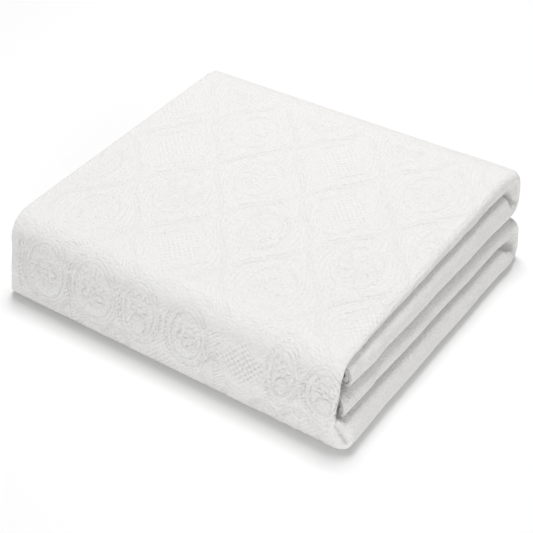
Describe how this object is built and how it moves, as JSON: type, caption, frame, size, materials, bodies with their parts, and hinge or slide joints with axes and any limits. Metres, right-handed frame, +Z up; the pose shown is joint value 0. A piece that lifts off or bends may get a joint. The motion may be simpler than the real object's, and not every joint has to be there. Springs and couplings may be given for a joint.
{
  "type": "folded bed cover",
  "caption": "White woven bed cover folded into a thick pack, with rounded folds, loops, a spine and layers that run back and forth",
  "frame": {"origin": "the middle of the pack's footprint, on the surface that it rests on", "axes": "X runs along the spine towards the rounded fold edge, Y runs from the spine to the two loops, Z is up"},
  "size_m": [0.386, 0.34, 0.1015],
  "materials": {
    "cover_cloth": "matt white cotton woven in relief"
  },
  "bodies": {
    "root": {"folded_cover": "cover_cloth"}
  },
  "joints": []
}
